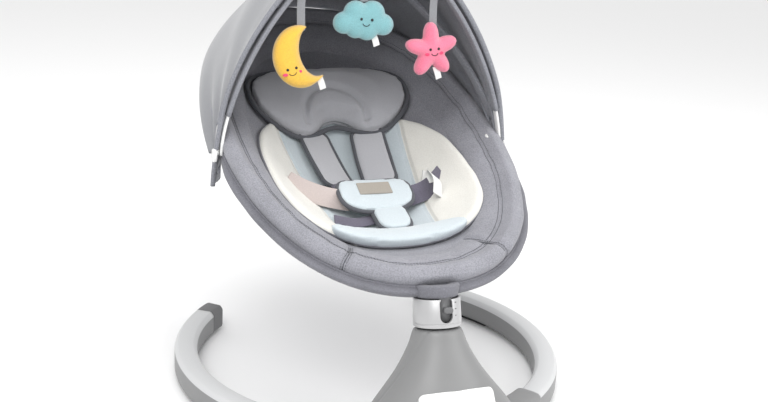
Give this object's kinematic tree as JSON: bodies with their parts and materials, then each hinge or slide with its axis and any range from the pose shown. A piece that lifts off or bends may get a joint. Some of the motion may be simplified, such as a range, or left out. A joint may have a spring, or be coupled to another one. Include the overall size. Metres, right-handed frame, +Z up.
{
  "type": "baby swing",
  "caption": "Electric baby swing: open ring base, leaning front pedestal, oval reclining bucket seat with padded harness and pillow, and a folding canopy with hanging plush toys.",
  "frame": {"origin": "where the stem's swing axis meets the floor, on the flat underside of the pedestal", "axes": "+X to the baby's left, +Y from the feet to the head, +Z up"},
  "size_m": [0.592, 0.8337, 0.6665],
  "materials": {
    "light_plastic": "satin",
    "grey_plastic": "satin",
    "silver_plastic": "satin",
    "white_plastic": "satin",
    "black_rubber": "matte",
    "steel": "brushed",
    "brass": "brushed",
    "circuit_green": "matte",
    "grey_fabric": "matte",
    "dark_fabric": "matte",
    "cream_fabric": "matte",
    "mint_fabric": "matte",
    "yellow_plush": "matte",
    "blue_plush": "matte",
    "pink_plush": "matte"
  },
  "bodies": {
    "base": {"floor_plate": "grey_plastic", "pedestal_front_shell": "grey_plastic", "pedestal_rear_shell": "grey_plastic", "control_panel": "white_plastic", "power_socket": "black_rubber", "drive_chassis": "steel", "drive_motor": "steel", "lower_bush": "brass", "upper_bush": "brass", "circuit_board": "circuit_green", "speaker": "black_rubber", "floor_plate_screw_1": "steel", "floor_plate_screw_2": "steel", "floor_plate_screw_3": "steel", "floor_plate_screw_4": "steel", "leg_tube_left": "light_plastic", "leg_cap_left": "grey_plastic", "leg_tube_right": "light_plastic", "leg_cap_right": "grey_plastic", "leg_pad_left_rear": "black_rubber", "leg_pad_left_front": "black_rubber", "leg_pad_right_rear": "black_rubber", "leg_pad_right_front": "black_rubber"},
    "pinion": {"motor_pinion": "brass"},
    "rotor": {"spindle": "steel", "spindle_clip": "steel", "sector_gear": "steel", "collar": "silver_plastic", "slider_bezel": "grey_plastic", "recline_pin": "steel"},
    "slider": {"recline_slider": "grey_plastic"},
    "front_hoop": {"front_bow": "white_plastic", "canopy_hood": "dark_fabric"},
    "rear_hoop": {"rear_bow": "white_plastic"},
    "moon": {"toy_moon": "yellow_plush", "toy_ribbon_moon": "dark_fabric"},
    "cloud": {"toy_cloud": "blue_plush", "toy_ribbon_cloud": "dark_fabric"},
    "star": {"toy_star": "pink_plush", "toy_ribbon_star": "dark_fabric"},
    "seat": {"seat_tube_front": "steel", "seat_tube_rear": "steel", "seat_bracket": "grey_plastic", "seat_cover": "grey_fabric", "seat_liner": "cream_fabric", "head_pillow": "grey_fabric", "shoulder_strap_left": "dark_fabric", "shoulder_pad_left": "grey_fabric", "waist_strap_left": "dark_fabric", "shoulder_strap_right": "dark_fabric", "shoulder_pad_right": "grey_fabric", "waist_strap_right": "dark_fabric", "harness_buckle": "grey_plastic", "waist_pad": "mint_fabric", "waist_label": "pink_plush", "crotch_pad": "mint_fabric", "canopy_mount_left": "white_plastic", "canopy_mount_right": "white_plastic", "canopy_pin_left": "steel", "canopy_pin_right": "steel"}
  },
  "joints": [
    {"name": "swing", "type": "hinge", "parent": "base", "child": "rotor", "pos_m": [0, 0, 0], "axis": [0, 0.2419, 0.9703], "range_deg": [-12, 12]},
    {"name": "pinion_spin", "type": "hinge", "parent": "base", "child": "pinion", "pos_m": [0, 0.03687, -0.00919], "axis": [0, 0.2419, 0.9703], "range_deg": [-45, 45]},
    {"name": "recline", "type": "hinge", "parent": "rotor", "child": "seat", "pos_m": [0, 0.04959, 0.19891], "axis": [1, 0, 0], "range_deg": [-10, 0]},
    {"name": "recline_slide", "type": "slide", "parent": "rotor", "child": "slider", "axis": [0, 0.2419, 0.9703], "range_m": [-0.004, 0.004]},
    {"name": "canopy_fold", "type": "hinge", "parent": "seat", "child": "front_hoop", "pos_m": [0, 0.34287, 0.33579], "axis": [-1, 0, 0], "range_deg": [0, 32], "deforming": ["canopy_hood"]},
    {"name": "rear_hoop_fold", "type": "hinge", "parent": "seat", "child": "rear_hoop", "pos_m": [0, 0.34287, 0.33579], "axis": [-1, 0, 0], "range_deg": [0, 16]},
    {"name": "moon_swing", "type": "hinge", "parent": "front_hoop", "child": "moon", "pos_m": [-0.108, 0.35146, 0.57773], "axis": [1, 0, 0], "range_deg": [-15, 36]},
    {"name": "cloud_swing", "type": "hinge", "parent": "front_hoop", "child": "cloud", "pos_m": [-0.012, 0.35369, 0.64168], "axis": [1, 0, 0], "range_deg": [-15, 36]},
    {"name": "star_swing", "type": "hinge", "parent": "front_hoop", "child": "star", "pos_m": [0.1, 0.35174, 0.58576], "axis": [1, 0, 0], "range_deg": [-15, 36]}
  ],
  "couplings": [
    {"joint": "pinion_spin", "follows": "swing", "ratio": -3.75},
    {"joint": "rear_hoop_fold", "follows": "canopy_fold", "ratio": 0.5}
  ]
}
